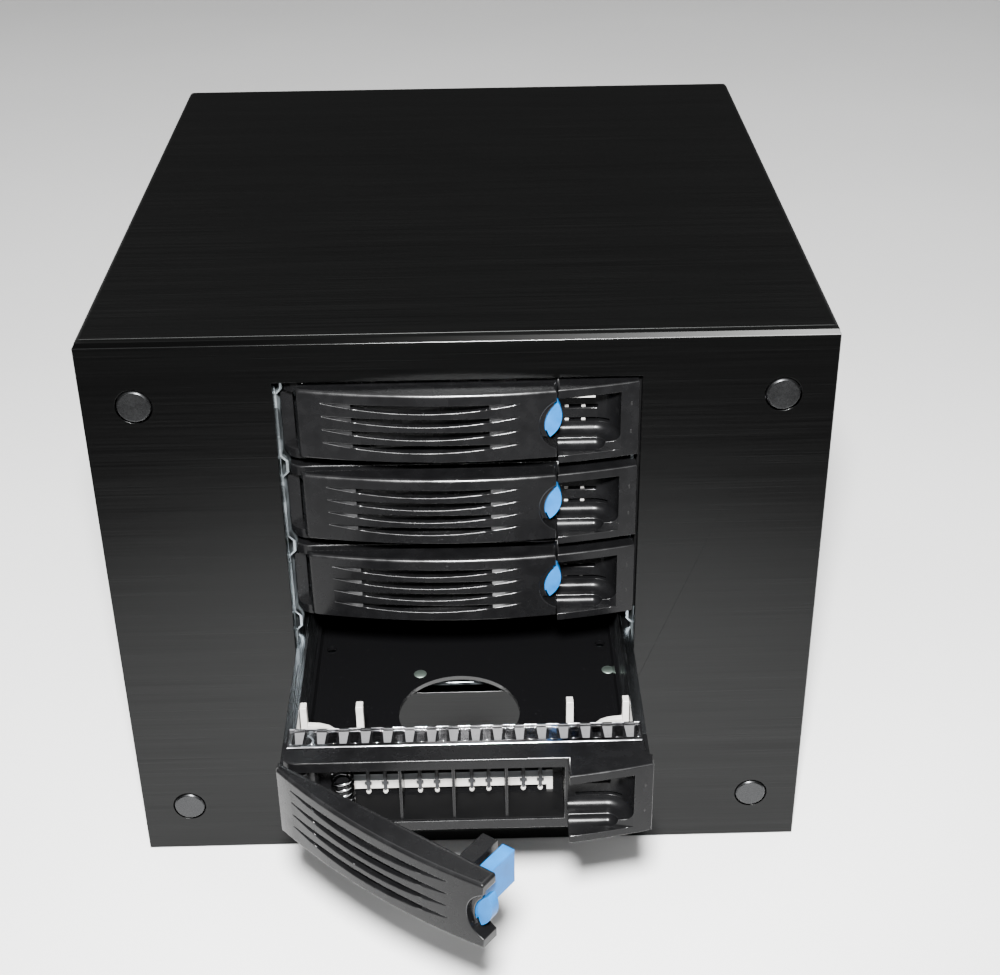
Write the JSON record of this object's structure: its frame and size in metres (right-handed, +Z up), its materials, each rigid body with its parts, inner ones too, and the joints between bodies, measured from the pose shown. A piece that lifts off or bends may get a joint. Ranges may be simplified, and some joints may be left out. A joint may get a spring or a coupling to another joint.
{
  "type": "nas enclosure",
  "caption": "Desktop storage enclosure: black brushed box whose front bay holds hot-swap drive trays with hinged levers, the lowest tray pulled out and its lever open.",
  "frame": {"origin": "on the surface it stands on, under the middle of the whole object at rest, with the lowest tray pulled out", "axes": "+Z up, +Y from the front plate to the rear panel, +X to the right seen from the front"},
  "size_m": [0.2374, 0.3909, 0.202],
  "materials": {
    "front_plate": "brushed black anodised",
    "front_caps": "turned, dark anodised",
    "black_plastic": "moulded",
    "dark_sheet": "powder coat",
    "cover": "fine brushed black",
    "galvanised": "galvanised sheet",
    "circuit_board": "solder mask",
    "fan_plastic": "moulded",
    "plated_steel": "nickel plated",
    "psu_steel": "plated sheet",
    "rubber": "matte",
    "black_screws": "black oxide",
    "brass": "turned",
    "tray_plastic": "satin moulded black",
    "tray_floor": "gloss black",
    "rail_steel": "bright",
    "spring_steel": "bright",
    "white_plastic": "moulded",
    "blue_plastic": "moulded"
  },
  "bodies": {
    "case": {"front_plate": "front_plate", "cap_screws": "front_caps", "button_housing": "black_plastic", "front_frame": "dark_sheet", "cover": "cover", "base_pan": "dark_sheet", "rear_panel": "dark_sheet", "cage_left_wall": "galvanised", "cage_right_wall": "galvanised", "cage_top_plate": "galvanised", "cage_shelf": "galvanised", "backplane": "circuit_board", "drive_connectors": "black_plastic", "fan_frame": "black_plastic", "fan_guard": "plated_steel", "fan_screws": "plated_steel", "psu_case": "psu_steel", "psu_inlet": "black_plastic", "rubber_feet": "rubber", "cover_screws": "black_screws", "board_standoffs": "brass"},
    "power_button": {"power_button": "front_caps"},
    "fan_rotor": {"fan_rotor": "fan_plastic"},
    "psu_fan_rotor": {"psu_fan_rotor": "fan_plastic"},
    "tray_1": {"tray_1_bezel": "tray_plastic", "tray_1_base": "tray_floor", "tray_1_rails": "rail_steel", "tray_1_emi_strip": "spring_steel", "tray_1_clips": "white_plastic", "tray_1_pin": "rail_steel", "tray_1_spring": "spring_steel"},
    "lever_1": {"tray_1_lever": "tray_plastic"},
    "latch_1": {"tray_1_latch": "blue_plastic"},
    "tray_2": {"tray_2_bezel": "tray_plastic", "tray_2_base": "tray_floor", "tray_2_rails": "rail_steel", "tray_2_emi_strip": "spring_steel", "tray_2_clips": "white_plastic", "tray_2_pin": "rail_steel", "tray_2_spring": "spring_steel"},
    "lever_2": {"tray_2_lever": "tray_plastic"},
    "latch_2": {"tray_2_latch": "blue_plastic"},
    "tray_3": {"tray_3_bezel": "tray_plastic", "tray_3_base": "tray_floor", "tray_3_rails": "rail_steel", "tray_3_emi_strip": "spring_steel", "tray_3_clips": "white_plastic", "tray_3_pin": "rail_steel", "tray_3_spring": "spring_steel"},
    "lever_3": {"tray_3_lever": "tray_plastic"},
    "latch_3": {"tray_3_latch": "blue_plastic"},
    "tray_4": {"tray_4_bezel": "tray_plastic", "tray_4_base": "tray_floor", "tray_4_rails": "rail_steel", "tray_4_emi_strip": "spring_steel", "tray_4_clips": "white_plastic", "tray_4_pin": "rail_steel", "tray_4_spring": "spring_steel"},
    "lever_4": {"tray_4_lever": "tray_plastic"},
    "latch_4": {"tray_4_latch": "blue_plastic"}
  },
  "joints": [
    {"name": "power_button_press", "type": "slide", "parent": "case", "child": "power_button", "axis": [0, 1, 0], "range_m": [0, 0.0015], "stiffness_N_per_m": 500, "springref_m": -0.001},
    {"name": "fan_spin", "type": "hinge", "parent": "case", "child": "fan_rotor", "pos_m": [0, 0.1753, 0.129], "axis": [0, 1, 0], "continuous": true},
    {"name": "psu_fan_spin", "type": "hinge", "parent": "case", "child": "psu_fan_rotor", "pos_m": [0.08775, 0.1803, 0.0917], "axis": [0, 1, 0], "continuous": true},
    {"name": "tray_1_slide", "type": "slide", "parent": "case", "child": "tray_1", "axis": [0, -1, 0], "range_m": [0, 0.15]},
    {"name": "lever_1_hinge", "type": "hinge", "parent": "tray_1", "child": "lever_1", "pos_m": [-0.0484, -0.0592, 0.1738], "axis": [0, 0, -1], "range_deg": [0, 40]},
    {"name": "latch_1_press", "type": "slide", "parent": "lever_1", "child": "latch_1", "axis": [-1, 0, 0], "range_m": [0, 0.0016], "stiffness_N_per_m": 300, "springref_m": -0.001},
    {"name": "tray_2_slide", "type": "slide", "parent": "case", "child": "tray_2", "axis": [0, -1, 0], "range_m": [0, 0.15]},
    {"name": "lever_2_hinge", "type": "hinge", "parent": "tray_2", "child": "lever_2", "pos_m": [-0.0484, -0.0592, 0.1438], "axis": [0, 0, -1], "range_deg": [0, 40]},
    {"name": "latch_2_press", "type": "slide", "parent": "lever_2", "child": "latch_2", "axis": [-1, 0, 0], "range_m": [0, 0.0016], "stiffness_N_per_m": 300, "springref_m": -0.001},
    {"name": "tray_3_slide", "type": "slide", "parent": "case", "child": "tray_3", "axis": [0, -1, 0], "range_m": [0, 0.15]},
    {"name": "lever_3_hinge", "type": "hinge", "parent": "tray_3", "child": "lever_3", "pos_m": [-0.0484, -0.0592, 0.1138], "axis": [0, 0, -1], "range_deg": [0, 40]},
    {"name": "latch_3_press", "type": "slide", "parent": "lever_3", "child": "latch_3", "axis": [-1, 0, 0], "range_m": [0, 0.0016], "stiffness_N_per_m": 300, "springref_m": -0.001},
    {"name": "tray_4_slide", "type": "slide", "parent": "case", "child": "tray_4", "axis": [0, -1, 0], "range_m": [-0.0755, 0.0745]},
    {"name": "lever_4_hinge", "type": "hinge", "parent": "tray_4", "child": "lever_4", "pos_m": [-0.0484, -0.1347, 0.0838], "axis": [0, 0, -1], "range_deg": [-37.5, 2.5]},
    {"name": "latch_4_press", "type": "slide", "parent": "lever_4", "child": "latch_4", "axis": [-0.7934, 0.6088, 0], "range_m": [0, 0.0016], "stiffness_N_per_m": 300, "springref_m": -0.001}
  ]
}
